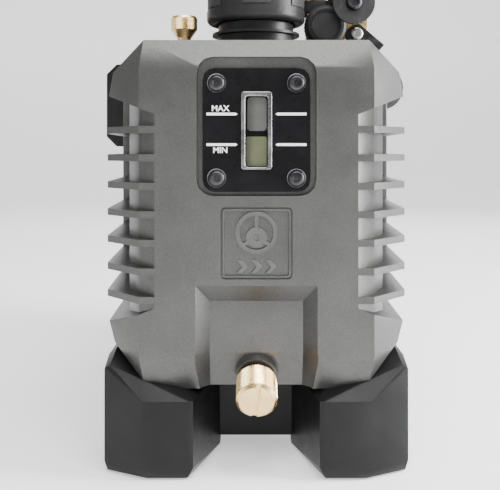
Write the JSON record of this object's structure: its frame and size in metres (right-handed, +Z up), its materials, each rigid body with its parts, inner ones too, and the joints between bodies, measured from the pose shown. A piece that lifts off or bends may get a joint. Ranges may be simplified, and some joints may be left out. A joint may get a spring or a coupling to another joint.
{
  "type": "vacuum pump",
  "caption": "Oil-sealed rotary-vane vacuum pump with a finned oil reservoir, sight glass, brass drain plug, capped intake ports, mains motor and carry handle.",
  "frame": {"origin": "centre of the overall box on the plane the rubber pads stand on", "axes": "+Y along the shaft from the oil reservoir's front face to the fan cowl, +X to the right seen from the front, +Z up"},
  "size_m": [0.195, 0.352, 0.2908],
  "materials": {
    "cast_grey": "die-cast aluminium with a grey sand-textured metallic coat",
    "black_plastic": "black moulded plastic, fine matt grain",
    "black_gloss": "smooth black plastic",
    "brass": "turned and knurled brass, bright",
    "black_screw": "black-oxide steel",
    "steel": "machined steel",
    "iron": "machined grey iron and laminated steel",
    "copper": "enamelled copper",
    "rubber": "black nitrile rubber",
    "sight_glass": "clear window with pale oil behind it",
    "vane_composite": "dark carbon-filled vane material"
  },
  "bodies": {
    "housing": {"oil_reservoir": "cast_grey", "reservoir_gasket": "rubber", "pump_frame": "cast_grey", "sight_plate": "black_gloss", "sight_window": "sight_glass", "sight_gasket": "rubber", "sight_screw_1": "black_screw", "sight_screw_2": "black_screw", "sight_screw_3": "black_screw", "sight_screw_4": "black_screw", "exhaust_neck": "black_plastic", "exhaust_filter": "steel", "ballast_seat": "brass", "intake_manifold": "brass", "cap_tether": "black_plastic", "tether_screw": "black_screw", "intake_tube": "copper", "pump_cylinder": "iron", "pump_end_cover": "iron", "shaft_seal": "rubber", "motor_housing": "cast_grey", "stator_core": "iron", "front_winding": "copper", "rear_winding": "copper", "front_bearing": "steel", "rear_bearing": "steel", "fan_cowl": "black_plastic", "switch_box": "black_plastic", "power_inlet": "black_gloss", "capacitor_cover": "cast_grey", "capacitor": "steel", "base": "black_plastic", "foot_pad_1": "rubber", "foot_pad_2": "rubber", "foot_pad_3": "rubber", "foot_pad_4": "rubber", "handle": "black_plastic", "handle_grip": "rubber"},
    "rotor": {"motor_shaft": "steel", "rotor_core": "iron", "pump_rotor": "steel", "vane_1": "vane_composite", "vane_2": "vane_composite", "cooling_fan": "black_plastic"},
    "drain_ring": {"drain_seal": "rubber"},
    "drain_knob": {"drain_plug": "brass"},
    "exhaust_ring": {"exhaust_seal": "rubber"},
    "exhaust_lid": {"exhaust_cap": "black_plastic"},
    "ballast_tip": {"ballast_seal": "rubber"},
    "ballast_knob": {"ballast_valve": "brass"},
    "front_port_ring": {"front_port_seal": "rubber"},
    "front_port_lid": {"front_port_cap": "black_plastic"},
    "top_port_ring": {"top_port_seal": "rubber"},
    "top_port_lid": {"top_port_cap": "black_plastic"},
    "lever": {"valve_lever": "black_plastic", "lever_screw": "steel", "valve_ball": "steel"},
    "rocker": {"rocker_switch": "black_gloss"}
  },
  "joints": [
    {"name": "shaft_spin", "type": "hinge", "parent": "housing", "child": "rotor", "pos_m": [0, 0, 0.125], "axis": [0, 1, 0], "continuous": true},
    {"name": "drain_plug_travel", "type": "slide", "parent": "housing", "child": "drain_ring", "axis": [0, -0.9205, -0.3907], "range_m": [0, 0.0075]},
    {"name": "drain_plug_turn", "type": "hinge", "parent": "drain_ring", "child": "drain_knob", "pos_m": [0, -0.1515, 0.052], "axis": [0, -0.9205, -0.3907], "range_deg": [0, 1800]},
    {"name": "exhaust_cap_travel", "type": "slide", "parent": "housing", "child": "exhaust_ring", "axis": [0, 0, 1], "range_m": [0, 0.006]},
    {"name": "exhaust_cap_turn", "type": "hinge", "parent": "exhaust_ring", "child": "exhaust_lid", "pos_m": [0, -0.119, 0.24], "axis": [0, 0, 1], "range_deg": [0, 720]},
    {"name": "ballast_valve_travel", "type": "slide", "parent": "housing", "child": "ballast_tip", "axis": [0, 0, 1], "range_m": [0, 0.002]},
    {"name": "ballast_valve_turn", "type": "hinge", "parent": "ballast_tip", "child": "ballast_knob", "pos_m": [-0.0398, -0.119, 0.23], "axis": [0, 0, 1], "range_deg": [0, 720]},
    {"name": "front_port_cap_travel", "type": "slide", "parent": "housing", "child": "front_port_ring", "axis": [0, -1, 0], "range_m": [0, 0.00381]},
    {"name": "front_port_cap_turn", "type": "hinge", "parent": "front_port_ring", "child": "front_port_lid", "pos_m": [0.0395, -0.109, 0.2366], "axis": [0, -1, 0], "range_deg": [0, 1080]},
    {"name": "top_port_cap_travel", "type": "slide", "parent": "housing", "child": "top_port_ring", "axis": [0, 0, 1], "range_m": [0, 0.00381]},
    {"name": "top_port_cap_turn", "type": "hinge", "parent": "top_port_ring", "child": "top_port_lid", "pos_m": [0.038, -0.09, 0.265], "axis": [0, 0, 1], "range_deg": [0, 1080]},
    {"name": "valve_lever_turn", "type": "hinge", "parent": "housing", "child": "lever", "pos_m": [0.0575, -0.09, 0.2327], "axis": [0, -1, 0], "range_deg": [0, 90]},
    {"name": "rocker_tilt", "type": "hinge", "parent": "housing", "child": "rocker", "pos_m": [-0.0889, 0.004, 0.2], "axis": [0, -1, 0], "range_deg": [0, 16]}
  ],
  "couplings": [
    {"joint": "drain_plug_turn", "follows": "drain_plug_travel", "rad_per_m": 4188.8},
    {"joint": "exhaust_cap_turn", "follows": "exhaust_cap_travel", "rad_per_m": 2094.4},
    {"joint": "ballast_valve_turn", "follows": "ballast_valve_travel", "rad_per_m": 6283.2},
    {"joint": "front_port_cap_turn", "follows": "front_port_cap_travel", "rad_per_m": 4947.4},
    {"joint": "top_port_cap_turn", "follows": "top_port_cap_travel", "rad_per_m": 4947.4}
  ]
}
